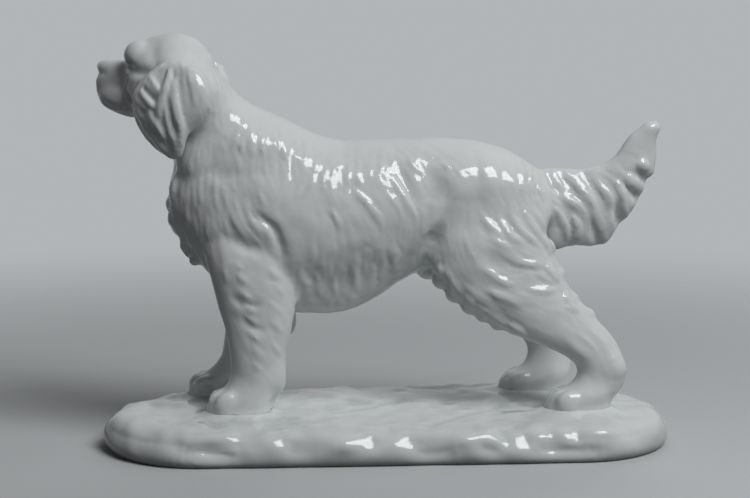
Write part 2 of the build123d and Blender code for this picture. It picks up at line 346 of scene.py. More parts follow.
def smooth_line(marks, count):
    """Evenly spread points on a smooth line through marks."""
    marks = np.asarray(marks, dtype=float)
    if len(marks) == 1:
        return marks
    ends = np.vstack([2 * marks[0] - marks[1], marks, 2 * marks[-1] - marks[-2]])
    line = []
    for i in range(1, len(ends) - 2):
        before, start, end, after = ends[i - 1 : i + 3]
        for t in np.linspace(0, 1, LINE_STEPS, endpoint=False):
            bend = (2 * before - 5 * start + 4 * end - after) * t**2
            twist = (3 * start - before - 3 * end + after) * t**3
            line.append(start + 0.5 * ((end - before) * t + bend + twist))
    line = np.array(line + [marks[-1]])
    run = np.concatenate([[0], np.cumsum(np.linalg.norm(np.diff(line, axis=0), axis=1))])
    spread = np.linspace(0, run[-1], count)
    return np.stack([np.interp(spread, run, line[:, k]) for k in range(line.shape[1])], axis=1)


def stepped(stroke, unit):
    """Marks a step apart along a stroke, whose own marks are in a unit."""
    length = sum(math.dist(a, b) for a, b in zip(stroke, stroke[1:])) * unit
    return smooth_line(stroke, max(FEWEST_MARKS, int(length / STROKE_STEP) + 1))


def cast(surface, starts, rays, farthest=SIGHT_REACH):
    """Where rays strike the clay as one unbroken line, with the outward directions."""
    hits = [surface.ray_cast(Vector(start), Vector(ray), farthest) for start, ray in zip(starts, rays)]
    struck = [i for i, hit in enumerate(hits) if hit[0] is not None]
    if not struck:
        return NOWHERE
    middle = min(struck, key=lambda i: abs(i - len(hits) // 2))
    places = np.empty((len(hits), 3))
    outward = np.empty((len(hits), 3))
    for order in (range(middle, len(hits)), range(middle, -1, -1)):
        depth = hits[middle][3]
        normal = np.array(hits[middle][1])
        for i in order:
            hit, facing, face, distance = hits[i]
            if hit is not None and abs(distance - depth) < DEPTH_JUMP:
                depth = distance
                normal = np.array(facing)
            places[i] = starts[i] + rays[i] * depth
            outward[i] = normal
    return places, outward


def thrown(surface, stroke):
    """Stroke on the photograph thrown along the sight lines on to the clay."""
    pixels = stepped(stroke, PIXEL_SIZE)
    return cast(surface, [EYE] * len(pixels), [sight(pixel) for pixel in pixels])


def thrown_far(surface, places, kind):
    """The same places thrown on to the dog's other side, with the swing of its right ear and legs."""
    if kind == "near":
        return NOWHERE
    if kind in ("head", "ear"):
        outward = -HEAD_LEFTWARD
        offset = (places - HEAD_MIDDLE) @ HEAD_LEFTWARD
        swing = RIGHT_EAR_SWING if kind == "ear" else 0
        mirrored = places + 2 * offset[:, None] * outward + HEAD_FORWARD * swing
    else:
        outward = np.array((0.0, 1.0, 0.0))
        mirrored = places.copy()
        mirrored[:, 1] = 2 * MIDLINE - places[:, 1]
        stride = np.where(places[:, 0] < 0, FORE_STRIDE, HIND_STRIDE)
        mirrored[:, 0] -= stride * np.interp(places[:, 2], STRIDE_HEIGHTS, (1, 0))
    starts = mirrored + outward * FAR_THROW
    return cast(surface, list(starts), [-outward] * len(starts))


def thrown_along(surface, stroke, ray):
    """Stroke in mm across and up, thrown on to the clay from the dog's front or back."""
    marks = stepped(stroke, MM) * MM
    starts = [np.array((-ray[0] * END_THROW, across, up)) for across, up in marks]
    places, outward = cast(surface, starts, [ray] * len(starts), END_REACH)
    if len(places) and (outward @ -ray).min() < END_FACING:
        return NOWHERE
    return places, outward


def both_sides(surface, marks, kind):
    """Places of a tool drawn along marks on the near side and, by the kind of place, on the far side."""
    near = thrown(surface, marks)[0]
    far = thrown_far(surface, near, kind)[0]
    return [line for line in (near, far) if len(line)]


# Pellets of clay on the head: mm forward, left and up of the skull's middle, and half sizes the same way.
# They are the lips, the chin and the cheeks.
HEAD_PELLETS = [
    ((26.0, 8.5, -7.0), (9.5, 4.4, 6.6)),
    ((22.0, 0.0, -13.5), (8.0, 6.0, 3.4)),
    ((6.0, 15.0, -5.0), (8.0, 4.2, 8.0)),
]

# Pellets laid on after the muzzle is drawn back: nose leather, near ear's lobe, back of the far ear
LATE_PELLETS = [
    ((37.8, 0.0, 6.0), (3.8, 4.6, 3.2)),
    ((-19.0, 18.5, -6.0), (10.0, 5.5, 15.0)),
    ((-12.0, -14.5, -3.0), (7.0, 7.0, 9.0)),
]

# Clay on the body, in mm in the figure's own frame, with half sizes along, across and up: the sheath,
# the tuft at the far elbow, the tail's tip, and the ruff behind and under the near ear
BODY_PELLETS = [
    ((19.2, 4.5, 78.0), (5.5, 4.5, 3.6)),
    ((-46.0, 20.0, 54.0), (5.0, 5.0, 8.0)),
    ((120.4, 4.5, 143.2), (5.2, 3.8, 3.5)),
    ((-90.0, -6.0, 159.1), (19.0, 19.0, 16.0)),
    ((-82.4, -5.5, 135.2), (13.0, 11.0, 26.0)),
]
PELLET_SEGMENTS = 24

# Tufts that scallop the outline, on the photograph: the middle of each, how far back it lies and its radius
# in mm. They run down the chest, the front and the back of the thigh, and the back of the foreleg.
OUTLINE_TUFTS = [
    ((176, 203), 3.0, 5.0),
    ((177, 219), 3.0, 4.5),
    ((188, 244), 3.0, 4.0),
    ((195, 260), 3.0, 2.8),
    ((443, 278), -10.0, 5.0),
    ((456, 292), -12.0, 5.0),
    ((471, 304), -13.0, 5.0),
    ((485, 312), -13.0, 5.0),
    ((499, 320), -13.0, 5.0),
    ((513, 324), -13.0, 4.6),
    ((529, 331), -13.0, 4.0),
    ((545, 248), -8.0, 4.5),
    ((556, 275), -11.0, 4.5),
    ((569, 300), -12.0, 4.5),
    ((587, 316), -12.0, 4.5),
    ((288, 298), -12.0, 4.5),
]

# Toes on the fore and hind paws: shares of the paw's half width from its middle line,
# set back from the tip in mm, and half sizes in mm
TOE_SHARES = (-0.72, -0.25, 0.25, 0.72)
TOE_SETBACKS = {"foreleg": (9.6, 6.6, 6.6, 9.6), "hind_leg": (10.4, 8.0, 8.0, 10.4)}
TOE_SIZES = {"foreleg": (6.4, 3.0, 5.4), "hind_leg": (6.4, 3.2, 5.0)}
PAW_HEIGHT = 9.0 * MM
PAW_FLARE_HEIGHT = 4.0 * MM
PAW_FLARE = 1.3 * MM

# Plug that stops the vent in the left foreleg
VENT_PLACE = (-60.6 * MM, -14.5 * MM)
VENT_PLUG_RADIUS = 3.2 * MM
VENT_PLUG_HEIGHT = 30.0 * MM

# Eyes and their lids, in mm forward, left and up of the skull's middle
EYE_PLACE = (16.0, 12.2, 4.0)
EYE_RADIUS = 2.8
EYE_SOCKET_REACH = 4.2
EYE_SOCKET_DEPTH = 2.4
UPPER_LID = [(12.8, 13.6, 4.6), (14.6, 13.6, 6.6), (17.2, 12.2, 7.0), (19.4, 10.0, 5.4)]
LOWER_LID = [(12.8, 13.6, 4.2), (14.8, 14.0, 2.2), (17.2, 12.8, 1.6), (19.4, 10.2, 3.4)]
LID_MIDDLE = (10.0, 6.0, 4.2)
LID_MARKS = 10
LID_WIDTH = 2.0
LID_RISE = 0.7

# Mouth, drawn after the coat: marks on the photograph
MOUTH = [(98, 96), (105, 101), (113, 105), (121, 106)]
MOUTH_REACH = 1.0
MOUTH_DEPTH = 0.5

# Crease under the nose leather round the muzzle's end, and the groove down from it between the lips
NOSE_CREASE = [(32.0, 9.5, 3.6), (36.0, 6.5, 3.0), (39.0, 3.0, 2.6), (39.5, 0.0, 2.4)]
NOSE_CREASE += [(forward, -left, up) for forward, left, up in NOSE_CREASE[-2::-1]]
NOSE_CREASE_REACH = 1.8
NOSE_CREASE_DEPTH = 1.6
LIP_GROOVE = [(41.0, 0.0, 2.0), (40.0, 0.0, -1.0), (39.0, 0.0, -5.0), (37.0, 0.0, -8.0)]
LIP_GROOVE_REACH = 1.0
LIP_GROOVE_DEPTH = 1.2
GROOVE_MARKS = 20

# Slopes that the muzzle is drawn back to: the way each faces, its limit in mm, and where the muzzle starts
MUZZLE_SLOPES = [
    ((0.618, 0.0, -0.786), 29.2, 18.0),
    ((0.0, 0.0, 1.0), 9.2, 22.0),
    ((0.829, 0.559, 0.0), 36.2, 22.0),
    ((0.829, -0.559, 0.0), 36.2, 22.0),
]

# Steps smoothed away, on the photograph: tool reach in mm, passes, the kind of place, and marks
MELTED_STEPS = [
    # Brow and ear
    (5.0, 60, "near", [(150, 68), (158, 62), (168, 59), (182, 58), (196, 61), (206, 68)]),
    (9.0, 150, "near", [(200, 62), (214, 72), (223, 86), (226, 100), (222, 114), (212, 126), (200, 132)]),
    (5.0, 60, "near", [(192, 66), (193, 80), (193, 96), (192, 110), (188, 122)]),
    (5.0, 12, "ear", [(158, 64), (168, 60), (182, 60)]),
    (6.5, 110, "near", [(207, 120), (200, 127), (193, 134), (188, 141)]),
    # Hip
    (8.0, 90, "body", [(438, 216), (462, 212), (490, 210), (518, 208), (546, 204)]),
    # Tip and rear edge of the tail
    (5.0, 16, "near", [(640, 126), (650, 125), (656, 126)]),
    (4.0, 60, "near", [(655, 139), (655, 152), (654, 164)]),
]

# Crease under the chin, smoothed away on the midline: places in mm along the dog and up
THROAT_CREASE = [(-104.0, 142.0), (-101.0, 136.0), (-98.0, 130.0), (-97.0, 122.0)]
THROAT_REACH = 9.0
THROAT_PASSES = 30
THROAT_MARKS = 12

# Hollows and swellings under the coat, on the photograph: tool reach and depth in mm, kind of place, marks
HOLLOWS = [
    # Swell of the neck's side
    (6.0, -1.0, "body", [(222, 104), (238, 119), (252, 136), (270, 144), (288, 151), (306, 165)]),
    # Hip and loin
    (11.0, -1.8, "body", [(478, 172), (490, 172), (502, 174)]),
    (7.0, -1.2, "body", [(456, 168), (458, 184), (456, 200)]),
    # Hollow of the flank, its groove, fold and pit
    (6.5, 2.0, "body", [(432, 168), (434, 186), (430, 204)]),
    (2.4, 1.4, "body", [(400, 168), (407, 184), (416, 203)]),
    (3.0, -1.4, "body", [(440, 204), (431, 226), (417, 247)]),
    (4.0, 2.0, "body", [(436, 232), (430, 246)]),
    # Tucked belly
    (12.0, 2.6, "body", [(298, 282), (332, 284), (366, 276), (396, 262)]),
    # Elbow: the fold behind the shoulder and the pit under its hair
    (2.2, 1.8, "body", [(253, 216), (263, 221), (273, 229), (279, 241), (282, 256)]),
    (3.0, 1.2, "body", [(236, 242), (246, 248), (255, 251)]),
    # Foreleg: the grooves across it
    (1.6, 0.9, "body", [(234, 298), (244, 305), (257, 307)]),
    (1.6, 0.9, "body", [(243, 320), (252, 327), (264, 331)]),
    # Thigh: the hollow lens
    (3.8, 1.2, "body", [(488, 257), (500, 264), (517, 269)]),
    # Hock
    (5.0, -2.2, "body", [(616, 362), (619, 371), (620, 378)]),
    (4.0, 1.4, "body", [(612, 392), (612, 402)]),
    # Fore paws: the near heel and the far toe tips drawn in
    (4.5, 2.8, "near", [(276, 396), (276, 404), (275, 411)]),
    (4.0, 2.2, "near", [(190, 372), (187, 380), (187, 391)]),
    # Tail: the grooves down from its top and the notches between its locks
    (2.0, 1.1, "body", [(560, 172), (568, 184), (580, 198)]),
    (2.0, 1.1, "body", [(582, 172), (592, 184), (602, 198)]),
    (2.0, 0.9, "body", [(547, 174), (552, 186), (560, 197)]),
    (2.2, 2.4, "near", [(660, 188), (648, 182), (636, 174)]),
    (2.2, 2.4, "near", [(648, 206), (636, 197), (626, 186)]),
    (2.4, 2.6, "near", [(630, 240), (621, 224), (615, 208)]),
    (2.4, 2.0, "near", [(598, 256), (597, 240), (592, 222)]),
    # Temple, hollow of the eye, back of the skull
    (3.0, 0.9, "head", [(154, 44), (153, 52), (154, 62)]),
    (2.4, 1.8, "head", [(127, 66), (136, 72), (147, 71), (154, 66)]),
    (8.0, 1.8, "near", [(190, 46), (198, 51), (205, 60)]),
]


def pellet(middle, axes, sizes):
    """Lump of clay with half sizes in mm along three axes."""
    lump = bmesh.new()
    rings = PELLET_SEGMENTS // 2
    bmesh.ops.create_uvsphere(lump, u_segments=PELLET_SEGMENTS, v_segments=rings, radius=1.0)
    for vert in lump.verts:
        vert.co = middle + (np.array(vert.co) * sizes) @ np.array(axes) * MM
    bmesh.ops.recalc_face_normals(lump, faces=lump.faces)
    return mesh_from(lump, "pellet")


def paw(node):
    """Tip, middle line, half width and sole of the paw at the foot of a leg."""
    points = mesh_points(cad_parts[node].data)
    sole = points[:, 2].min()
    low = points[points[:, 2] < sole + PAW_HEIGHT]
    middle = (low[:, 1].min() + low[:, 1].max()) / 2
    half_width = (low[:, 1].max() - low[:, 1].min()) / 2
    return low[:, 0].min(), middle, half_width, sole


def vent_plug():
    """Round plug in the vent, from the sole up."""
    plug = bmesh.new()
    bmesh.ops.create_cone(
        plug,
        cap_ends=True,
        segments=PELLET_SEGMENTS,
        radius1=VENT_PLUG_RADIUS,
        radius2=VENT_PLUG_RADIUS,
        depth=VENT_PLUG_HEIGHT,
    )
    lift = Vector((*VENT_PLACE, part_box("left_foreleg")[0][2] + VENT_PLUG_HEIGHT / 2))
    bmesh.ops.translate(plug, verts=plug.verts, vec=lift)
    return mesh_from(plug, "vent plug")


def toes():
    """Four toes on each paw."""
    lumps = []
    for node in LEG_NODES:
        tip, middle, half_width, sole = paw(node)
        end = node.split("_", 1)[1]
        sizes = TOE_SIZES[end]
        for share, setback in zip(TOE_SHARES, TOE_SETBACKS[end]):
            place = np.array((tip + setback * MM, middle + share * half_width, sole + sizes[2] * MM))
            lumps.append(pellet(place, BODY_AXES, sizes))
    return lumps


def head_lumps():
    """Lips, chin and cheeks."""
    lumps = []
    for (forward, left, up), sizes in HEAD_PELLETS:
        for side in sorted({left, -left}):
            lumps.append(pellet(head_place(forward, side, up), HEAD_AXES, sizes))
    return lumps


def late_lumps():
    """Pellets laid on after the muzzle is drawn back, and the tufts on the outline."""
    lumps = [pellet(head_place(*place), HEAD_AXES, sizes) for place, sizes in LATE_PELLETS]
    lumps += [pellet(np.array(place) * MM, BODY_AXES, sizes) for place, sizes in BODY_PELLETS]
    for pixel, back, radius in OUTLINE_TUFTS:
        ray = sight(pixel)
        middle = EYE + ray * (back * MM - EYE[1]) / ray[1]
        lumps.append(pellet(middle, BODY_AXES, [radius] * 3))
    return lumps


def shaped_clay():
    """The castings as one lump of clay, with the swellings, slopes and hollows that the locks lie on."""
    clay = joined(merged_copy(*FIGURE_NODES), vent_plug(), *toes(), *head_lumps())
    clay = fused(clay, CLAY_GRAIN)
    for facing, limit, within in MUZZLE_SLOPES:
        shave(clay, facing, limit, within)
    clay = fused(joined(clay, *late_lumps()), CLAY_GRAIN)
    soften(clay, CLAY_SOFTENING)
    surface = surface_of(clay)
    for reach, passes, kind, marks in MELTED_STEPS:
        for line in both_sides(surface, marks, kind):
            melt(clay, line, reach * MM, passes)
    throat = [np.array((along * MM, MIDLINE, up * MM)) for along, up in THROAT_CREASE]
    melt(clay, smooth_line(throat, THROAT_MARKS), THROAT_REACH * MM, THROAT_PASSES)
    surface = surface_of(clay)
    for reach, depth, kind, marks in HOLLOWS:
        for line in both_sides(surface, marks, kind):
            press(clay, line, reach * MM, depth * MM)
    for socket in head_pair(*EYE_PLACE):
        press(clay, [socket], EYE_SOCKET_REACH * MM, EYE_SOCKET_DEPTH * MM)
    return clay


# Coats of hair on the photograph: the kind of place, the width and rise of the laid locks, the rise of the
# strands and of the hair combed along them, how far the comb reaches from the strokes, all in mm, then the
# strokes. Growth runs from the first mark of a stroke to its last.
Coat = namedtuple("Coat", "kind width rise strand hair reach strokes")
COATS = {
    "ear curls": Coat("ear", 4.6, 1.8, 0.2, 0.12, 6.0, [
        [(166, 63), (156, 70), (148, 80), (150, 90), (158, 96)],
        [(158, 74), (147, 83), (139, 93), (138, 102), (146, 109), (154, 112)],
        [(150, 76), (141, 87), (135, 98), (136, 108)],
        [(170, 68), (168, 82), (164, 97), (160, 111), (163, 126)],
        [(150, 106), (152, 117), (160, 128), (166, 140)],
        [(141, 114), (146, 126), (155, 138), (163, 150), (169, 156)],
        [(167, 92), (166, 108), (169, 126), (175, 142), (176, 153)],
        [(174, 80), (174, 98), (177, 114), (181, 130), (180, 146)],
        [(140, 108), (147, 118), (151, 130), (158, 143)],
        [(135, 101), (139, 112), (146, 122)],
    ]),
    "ear waves": Coat("ear", 3.4, 2.1, 0.15, 0.1, 3.0, [
        [(145, 79), (147, 84), (152, 90), (158, 97)],
        [(150, 76), (153, 82), (158, 89), (163, 95)],
        [(137, 95), (140, 100), (145, 106), (152, 113)],
        [(141, 90), (145, 96), (151, 103), (157, 109)],
    ]),
    "ear lobe": Coat("near", 2.2, 0.5, 0.12, 0.12, 7.0, [
        [(176, 68), (177, 84), (179, 100), (180, 112)],
        [(186, 66), (190, 80), (194, 96), (196, 112)],
        [(196, 74), (197, 86), (199, 100)],
    ]),
    "chest": Coat("body", 4.4, 0.35, 0.15, 0.08, 9.0, [
        [(178, 168), (177, 182), (173, 200), (174, 222)],
        [(184, 160), (181, 176), (182, 196), (178, 222), (184, 240)],
        [(190, 150), (188, 170), (187, 190), (186, 212), (190, 236), (196, 252)],
        [(197, 148), (194, 166), (193, 186), (194, 205), (197, 225), (199, 245)],
        [(204, 150), (202, 170), (200, 190), (201, 210), (206, 232)],
        [(210, 150), (209, 170), (207, 188), (205, 204)],
        [(216, 160), (215, 180), (215, 198), (220, 215), (227, 232)],
        [(222, 168), (223, 188), (228, 208), (236, 226)],
        [(203, 206), (205, 222), (208, 238), (212, 252)],
    ]),
    "shoulder": Coat("body", 5.4, 0.55, 0.14, 0.07, 9.0, [
        [(230, 178), (233, 196), (240, 214), (249, 232), (258, 246)],
        [(238, 186), (243, 202), (251, 218), (260, 233), (268, 250)],
        [(246, 194), (253, 208), (262, 222), (270, 236), (275, 252)],
        [(228, 200), (233, 216), (241, 232), (248, 246)],
        [(256, 186), (262, 200), (270, 212)],
    ]),
    "neck": Coat("body", 2.4, 0.48, 0.14, 0.1, 10.0, [
        [(217, 86), (217, 98)],
        [(264, 138), (262, 148), (264, 158)],
        [(306, 150), (304, 160), (307, 170)],
        [(214, 118), (216, 126), (214, 136)],
        [(240, 128), (236, 138), (236, 148)],
        [(268, 158), (266, 170), (270, 182)],
        [(204, 102), (209, 107), (212, 114)],
        [(226, 104), (227, 110), (224, 118)],
        [(219, 123), (222, 131), (226, 140)],
        [(231, 126), (228, 134), (224, 142)],
        [(245, 137), (242, 146), (242, 158)],
        [(255, 143), (254, 150), (250, 160)],
        [(236, 150), (238, 160), (239, 174)],
        [(276, 134), (276, 154)],
        [(286, 140), (285, 154), (288, 166)],
        [(297, 149), (295, 162)],
    ]),
    "flank": Coat("body", 3.2, 0.6, 0.15, 0.1, 8.0, [
        [(318, 160), (314, 175)],
        [(406, 156), (414, 166), (420, 176)],
        [(436, 160), (446, 166), (452, 174)],
        [(330, 205), (336, 218), (342, 232)],
        [(331, 161), (326, 172), (323, 186), (327, 198)],
        [(337, 163), (331, 180)],
        [(350, 164), (348, 176), (350, 188)],
        [(358, 165), (357, 176), (364, 190)],
        [(372, 164), (376, 176), (384, 190), (396, 206), (403, 224)],
        [(388, 162), (390, 172), (398, 186), (408, 202), (416, 218), (417, 236)],
        [(352, 182), (360, 194), (370, 207), (380, 222), (386, 238)],
        [(304, 182), (298, 194), (290, 202)],
    ]),
    "thigh": Coat("body", 5.4, 0.8, 0.16, 0.08, 9.0, [
        [(476, 208), (485, 220), (497, 232), (508, 244)],
        [(482, 226), (494, 238), (510, 249), (522, 256)],
        [(495, 210), (503, 224), (514, 238), (530, 246)],
        [(506, 206), (515, 222), (528, 236), (545, 250)],
        [(520, 204), (530, 220), (540, 236), (549, 250)],
        [(532, 204), (541, 220), (548, 236)],
        [(503, 252), (512, 260), (526, 264), (542, 264), (553, 268)],
        [(478, 262), (492, 275), (508, 284), (522, 281)],
        [(531, 270), (545, 277), (558, 284)],
        [(522, 288), (540, 291), (562, 290)],
        [(442, 258), (448, 275), (458, 290), (470, 302)],
        [(458, 276), (470, 290), (484, 300), (500, 308)],
        [(480, 282), (494, 294), (512, 302), (530, 310)],
        [(470, 296), (480, 308), (492, 316), (508, 326), (526, 336)],
        [(560, 305), (574, 308), (583, 318)],
        [(575, 302), (588, 310), (596, 322)],
    ]),
    "soft thigh": Coat("body", 5.0, 0.35, 0.1, 0.05, 8.0, [
        [(450, 196), (446, 225), (450, 250), (460, 272)],
        [(464, 214), (466, 238), (474, 258), (486, 276)],
    ]),
    "hock": Coat("body", 7.0, 0.45, 0.08, 0.03, 8.0, [
        [(556, 318), (576, 332), (596, 350), (606, 372)],
        [(576, 316), (594, 332), (610, 352), (616, 376)],
        [(545, 328), (566, 340), (584, 356), (592, 376)],
    ]),
    "tail": Coat("body", 6.0, 1.3, 0.2, 0.12, 5.0, [
        [(568, 177), (577, 187), (587, 197), (595, 210), (599, 225), (604, 240)],
        [(556, 195), (568, 201), (580, 208), (588, 218), (590, 232), (588, 240)],
        [(552, 205), (560, 216), (566, 230), (566, 244)],
        [(572, 214), (577, 226), (577, 242)],
        [(590, 182), (602, 190), (610, 202), (612, 216), (613, 230)],
        [(608, 178), (618, 186), (624, 198), (626, 212), (627, 218)],
        [(622, 172), (632, 180), (637, 188), (640, 193)],
        [(636, 160), (644, 166), (649, 172)],
    ]),
    "tail root": Coat("body", 2.4, 0.6, 0.2, 0.2, 5.0, [
        [(524, 166), (524, 182), (528, 198)],
        [(530, 168), (531, 182), (534, 194)],
        [(535, 170), (538, 186), (546, 204)],
    ]),
    "edge tufts": Coat("body", 6.0, 1.3, 0.15, 0.1, 4.0, [
        [(176, 176), (173, 190), (172, 202)],
        [(172, 206), (171, 220), (176, 232)],
        [(182, 236), (184, 248), (190, 258)],
        [(440, 262), (440, 272), (444, 280)],
        [(447, 280), (452, 290), (462, 297)],
        [(464, 292), (470, 303), (478, 310)],
        [(482, 308), (490, 318), (500, 325)],
        [(505, 322), (516, 330), (528, 336)],
        [(540, 234), (548, 246), (550, 256)],
        [(544, 262), (552, 272), (559, 284)],
        [(562, 290), (569, 299), (577, 304)],
    ]),
    "foreleg": Coat("body", 4.6, 0.5, 0.1, 0.05, 7.0, [
        [(222, 262), (226, 276), (232, 290)],
        [(232, 256), (238, 266), (246, 274)],
        [(234, 268), (242, 279), (252, 287)],
        [(236, 284), (244, 294), (256, 301)],
        [(238, 298), (248, 308), (260, 315)],
        [(242, 312), (252, 322), (264, 330)],
        [(245, 326), (254, 337), (266, 346)],
        [(247, 342), (256, 353), (268, 362)],
        [(249, 358), (257, 367), (266, 375)],
        [(262, 262), (272, 272), (284, 284)],
        [(266, 278), (278, 288), (288, 302)],
        [(264, 296), (274, 306), (286, 318)],
        [(266, 316), (276, 326), (284, 336)],
        [(268, 336), (276, 348), (284, 360)],
    ]),
    "belly": Coat("body", 7.0, 0.6, 0.25, 0.06, 12.0, [
        [(305, 262), (304, 285), (306, 308)],
        [(318, 258), (318, 284), (322, 309)],
        [(334, 256), (334, 280), (338, 306)],
        [(352, 252), (354, 275), (356, 300)],
        [(370, 250), (374, 270), (376, 288)],
        [(388, 250), (394, 266), (398, 278)],
    ]),
}

# Hanging strands: shares of spread and middle at top and foot, where they bend and by how much
STRAND_TOP_SHARES = (0.9, 0.1)
STRAND_FOOT_SHARES = (0.85, 0.15)
STRAND_BEND_SHARES = (0.35, 0.7)
STRAND_RETURN_SHARE = 0.6
STRAND_LIFT_SHARE = 0.2


def strands(middle, half_width, top, bottom, count, sway):
    """Strokes hanging side by side on the dog's front or back, in mm across and up."""
    height = top - bottom
    strokes = []
    for step in range(count):
        share = 2 * step / (count - 1) - 1
        across = middle + half_width * share
        bend = sway * (1 if step % 2 else -1)
        lift = height * STRAND_LIFT_SHARE * share**2
        strokes.append([
            (across * STRAND_TOP_SHARES[0] + middle * STRAND_TOP_SHARES[1], top - lift),
            (across + bend, top - height * STRAND_BEND_SHARES[0]),
            (across - bend * STRAND_RETURN_SHARE, top - height * STRAND_BEND_SHARES[1]),
            (across * STRAND_FOOT_SHARES[0] + middle * STRAND_FOOT_SHARES[1], bottom + lift),
        ])
    return strokes


COATS["bib"] = Coat("front", 4.0, 0.45, 0.18, 0.1, 9.0, strands(
    middle=4.5, half_width=17.0, top=139.0, bottom=92.0, count=9, sway=1.2
))
for leg, leg_middle in (("breeches", -15.0), ("far breeches", 24.0)):
    COATS[leg] = Coat("back", 3.6, 0.7, 0.2, 0.1, 8.0, strands(
        middle=leg_middle, half_width=6.5, top=100.0, bottom=58.0, count=5, sway=1.5
    ))

# Locks: their section, how much their sizes vary, and how they swell and taper along their length
LOCK_FLATNESS = 0.72
LOCK_SIDES = 10
LOCK_SEED = 7
LOCK_WIDTH_RANGE = (0.8, 1.2)
LOCK_RISE_RANGE = (0.7, 1.2)
LOCK_TAPER = ((0.0, 0.08), (0.22, 0.8), (0.5, 1.0), (0.8, 0.8), (1.0, 0.12))
LOCK_INPUTS = (
    ("Paths", "NodeSocketGeometry"),
    ("Lock sides", "NodeSocketInt"),
    ("Lock flatness", "NodeSocketFloat"),
    ("Clay", "NodeSocketMaterial"),
)

# Combs: the spacing of the teeth and how many steps the stroke of a comb runs each way
COMB_STEP = 0.8 * MM
STRAND_SPACING = 5.5 * MM
STRAND_STEPS = 14
HAIR_SPACING = 2.6 * MM
HAIR_STEPS = 9
FLOW_NEIGHBOURS = 6
FLOW_EVENNESS = 2.5 * MM
LEAST_FLOW = 0.001
MOST_NEIGHBOURS = 8
FULL_TOOTH = 2.0
MEAN_TOOTH = 0.8

# Lumps left by the thumb: their size and rise, and their share on the smooth head
LUMPS = ((17.0 * MM, 0.6 * MM), (8.0 * MM, 0.3 * MM))
HEAD_LUMP_SHARE = 0.25
HEAD_LUMP_FADE = (-10.0 * MM, 10.0 * MM)

Stroke = namedtuple("Stroke", "coat places outward")
Lock = namedtuple("Lock", "places outward width rise")


def laid_strokes(surface):
    """Every stroke of every coat, on both sides of the dog."""
    strokes = []
    for coat in COATS.values():
        for marks in coat.strokes:
            if coat.kind in END_RAYS:
                laid = [thrown_along(surface, marks, END_RAYS[coat.kind])]
            else:
                laid = [thrown(surface, marks)]
                laid.append(thrown_far(surface, laid[0][0], coat.kind))
            strokes.extend(Stroke(coat, places, outward) for places, outward in laid if len(places))
    return strokes


def directions(places):
    """Direction of growth at each place of a stroke."""
    steps = np.gradient(places, axis=0)
    return steps / np.linalg.norm(steps, axis=1)[:, None]


def grown(points, normals, strokes):
    """Growth at each point, and the rise of the strands and hair there, from the nearest strokes."""
    guides = np.concatenate([stroke.places for stroke in strokes])
    growth = np.concatenate([directions(stroke.places) for stroke in strokes])
    sizes = [(stroke.coat.strand, stroke.coat.hair, stroke.coat.reach) for stroke in strokes]
    sizes = np.repeat(sizes, [len(stroke.places) for stroke in strokes], axis=0) * MM
    tree = KDTree(len(guides))
    for i, guide in enumerate(guides):
        tree.insert(guide, i)
    tree.balance()
    found = [tree.find_n(point, FLOW_NEIGHBOURS) for point in points]
    nearest = np.array([[one[1] for one in few] for few in found])
    gaps = np.array([[one[2] for one in few] for few in found])
    weights = 1 / (gaps**2 + FLOW_EVENNESS**2)
    weights /= weights.sum(axis=1)[:, None]
    flow = (growth[nearest] * weights[:, :, None]).sum(axis=1)
    flow -= normals * (flow * normals).sum(axis=1)[:, None]
    flow /= np.linalg.norm(flow, axis=1)[:, None] + LEAST_FLOW
    strand, hair, reach = (sizes[nearest] * weights[:, :, None]).sum(axis=1).T
    fade = np.exp(-((gaps[:, 0] / reach) ** 2))
    return flow, strand * fade, hair * fade


def neighbours(mesh):
    """Table of each point and the points joined to it by an edge."""
    edges = mesh_edges(mesh)
    both = np.vstack([edges, edges[:, ::-1]])
    both = both[np.argsort(both[:, 0], kind="stable")]
    place = 1 + np.arange(len(both)) - np.searchsorted(both[:, 0], both[:, 0])
    table = np.repeat(np.arange(len(mesh.vertices))[:, None], MOST_NEIGHBOURS + 1, axis=1)
    kept = place <= MOST_NEIGHBOURS
    table[both[kept, 0], place[kept]] = both[kept, 1]
    return table


def drawn_along(values, points, flow, table, steps):
    """Mean of a value along the growth through each point, which draws it out into strands."""
    total = values.copy()
    rows = np.arange(len(points))
    for sense in (1, -1):
        here = rows
        place = points.copy()
        for step in range(steps):
            place += sense * COMB_STEP * flow[here]
            near = table[here]
            here = near[rows, ((points[near] - place[:, None]) ** 2).sum(axis=2).argmin(axis=1)]
            total += values[here]
    return total / (2 * steps + 1)


def unevenness(points, size):
    """Chance height at each point, in swells of about a size."""
    return np.array([noise.noise(Vector(point)) for point in points / size])


def teeth(heights):
    """Heights turned into rounded strands with narrow creases between them."""
    tooth = np.abs(heights) / heights.std()
    return np.minimum(tooth, FULL_TOOTH) - MEAN_TOOTH


def comb(mesh, strokes):
    """Draws strands and hair into the clay along the strokes, over the lumps left by the thumb."""
    points = mesh_points(mesh)
    normals = mesh_normals(mesh)
    table = neighbours(mesh)
    flow, strand, hair = grown(points, normals, strokes)
    height = np.zeros(len(points))
    up_neck = (points - corner_middle("neck_slip_seam")) @ NECK_AXIS
    share = np.interp(up_neck, HEAD_LUMP_FADE, (1, HEAD_LUMP_SHARE))
    for size, rise in LUMPS:
        height += share * rise * unevenness(points, size)
    for rise, spacing, steps in ((strand, STRAND_SPACING, STRAND_STEPS), (hair, HAIR_SPACING, HAIR_STEPS)):
        height += rise * teeth(drawn_along(unevenness(points, spacing), points, flow, table, steps))
    set_points(mesh, points + normals * height[:, None])


